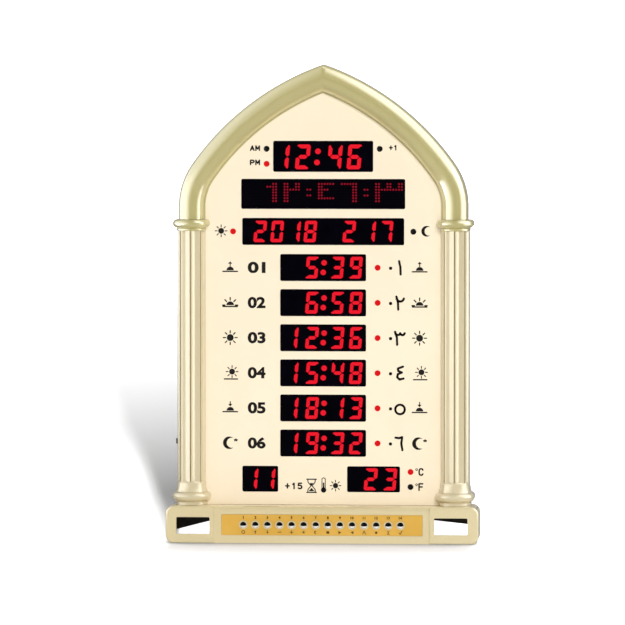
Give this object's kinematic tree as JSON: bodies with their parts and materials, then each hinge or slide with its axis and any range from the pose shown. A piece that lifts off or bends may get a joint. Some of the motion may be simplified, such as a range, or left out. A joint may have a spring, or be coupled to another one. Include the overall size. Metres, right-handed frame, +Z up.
{
  "type": "azan clock",
  "caption": "Wall or table prayer-time clock: gilded arch on fluted columns, cream panel with red LED displays, plinth with a row of push keys.",
  "frame": {"origin": "underside of the plinth, middle of the clock's width and depth", "axes": "+Z up, -Y out of the displayed front, +X to the right as seen from the front"},
  "size_m": [0.4376, 0.064, 0.6677],
  "materials": {
    "gilded_plastic": "gilded, satin gloss",
    "cream_panel": "smooth printed sheet",
    "black_display": "smoked lens",
    "lit_lamp": "lit red",
    "dark_lamp": "unlit",
    "amber_label": "satin printed strip",
    "chromed_key": "polished",
    "circuit_board": "solder mask",
    "black_plastic": "moulded, fine texture",
    "plated_steel": "plated"
  },
  "bodies": {
    "housing": {"arch_frame": "gilded_plastic", "left_column": "gilded_plastic", "right_column": "gilded_plastic", "base_plinth": "gilded_plastic", "face_panel": "cream_panel", "display_time": "black_display", "display_message": "black_display", "display_date": "black_display", "display_dawn": "black_display", "display_sunrise": "black_display", "display_noon": "black_display", "display_afternoon": "black_display", "display_sunset": "black_display", "display_night": "black_display", "display_countdown": "black_display", "display_temperature": "black_display", "lamp_pm": "lit_lamp", "lamp_solar_date": "lit_lamp", "lamp_celsius": "lit_lamp", "lamp_dawn": "lit_lamp", "lamp_sunrise": "lit_lamp", "lamp_noon": "lit_lamp", "lamp_afternoon": "lit_lamp", "lamp_sunset": "lit_lamp", "lamp_night": "lit_lamp", "lamp_am": "dark_lamp", "lamp_summer_time": "dark_lamp", "lamp_lunar_date": "dark_lamp", "lamp_fahrenheit": "dark_lamp", "key_label_plate": "amber_label", "main_board": "circuit_board", "key_board": "circuit_board", "base_back_plate": "black_plastic", "rear_cover": "black_plastic", "speaker": "black_plastic", "power_socket": "black_plastic", "cell_cup": "black_plastic", "backup_cell": "plated_steel", "cover_screw_1": "plated_steel", "cover_screw_2": "plated_steel", "cover_screw_3": "plated_steel", "cover_screw_4": "plated_steel", "cover_screw_5": "plated_steel", "cover_screw_6": "plated_steel"},
    "key_01_body": {"key_01": "chromed_key"},
    "key_02_body": {"key_02": "chromed_key"},
    "key_03_body": {"key_03": "chromed_key"},
    "key_04_body": {"key_04": "chromed_key"},
    "key_05_body": {"key_05": "chromed_key"},
    "key_06_body": {"key_06": "chromed_key"},
    "key_07_body": {"key_07": "chromed_key"},
    "key_08_body": {"key_08": "chromed_key"},
    "key_09_body": {"key_09": "chromed_key"},
    "key_10_body": {"key_10": "chromed_key"},
    "key_11_body": {"key_11": "chromed_key"},
    "key_12_body": {"key_12": "chromed_key"},
    "key_13_body": {"key_13": "chromed_key"},
    "key_14_body": {"key_14": "chromed_key"}
  },
  "joints": [
    {"name": "key_01_press", "type": "slide", "parent": "housing", "child": "key_01_body", "axis": [0, 1, 0], "range_m": [0, 0.001], "stiffness_N_per_m": 400},
    {"name": "key_02_press", "type": "slide", "parent": "housing", "child": "key_02_body", "axis": [0, 1, 0], "range_m": [0, 0.001], "stiffness_N_per_m": 400},
    {"name": "key_03_press", "type": "slide", "parent": "housing", "child": "key_03_body", "axis": [0, 1, 0], "range_m": [0, 0.001], "stiffness_N_per_m": 400},
    {"name": "key_04_press", "type": "slide", "parent": "housing", "child": "key_04_body", "axis": [0, 1, 0], "range_m": [0, 0.001], "stiffness_N_per_m": 400},
    {"name": "key_05_press", "type": "slide", "parent": "housing", "child": "key_05_body", "axis": [0, 1, 0], "range_m": [0, 0.001], "stiffness_N_per_m": 400},
    {"name": "key_06_press", "type": "slide", "parent": "housing", "child": "key_06_body", "axis": [0, 1, 0], "range_m": [0, 0.001], "stiffness_N_per_m": 400},
    {"name": "key_07_press", "type": "slide", "parent": "housing", "child": "key_07_body", "axis": [0, 1, 0], "range_m": [0, 0.001], "stiffness_N_per_m": 400},
    {"name": "key_08_press", "type": "slide", "parent": "housing", "child": "key_08_body", "axis": [0, 1, 0], "range_m": [0, 0.001], "stiffness_N_per_m": 400},
    {"name": "key_09_press", "type": "slide", "parent": "housing", "child": "key_09_body", "axis": [0, 1, 0], "range_m": [0, 0.001], "stiffness_N_per_m": 400},
    {"name": "key_10_press", "type": "slide", "parent": "housing", "child": "key_10_body", "axis": [0, 1, 0], "range_m": [0, 0.001], "stiffness_N_per_m": 400},
    {"name": "key_11_press", "type": "slide", "parent": "housing", "child": "key_11_body", "axis": [0, 1, 0], "range_m": [0, 0.001], "stiffness_N_per_m": 400},
    {"name": "key_12_press", "type": "slide", "parent": "housing", "child": "key_12_body", "axis": [0, 1, 0], "range_m": [0, 0.001], "stiffness_N_per_m": 400},
    {"name": "key_13_press", "type": "slide", "parent": "housing", "child": "key_13_body", "axis": [0, 1, 0], "range_m": [0, 0.001], "stiffness_N_per_m": 400},
    {"name": "key_14_press", "type": "slide", "parent": "housing", "child": "key_14_body", "axis": [0, 1, 0], "range_m": [0, 0.001], "stiffness_N_per_m": 400}
  ]
}
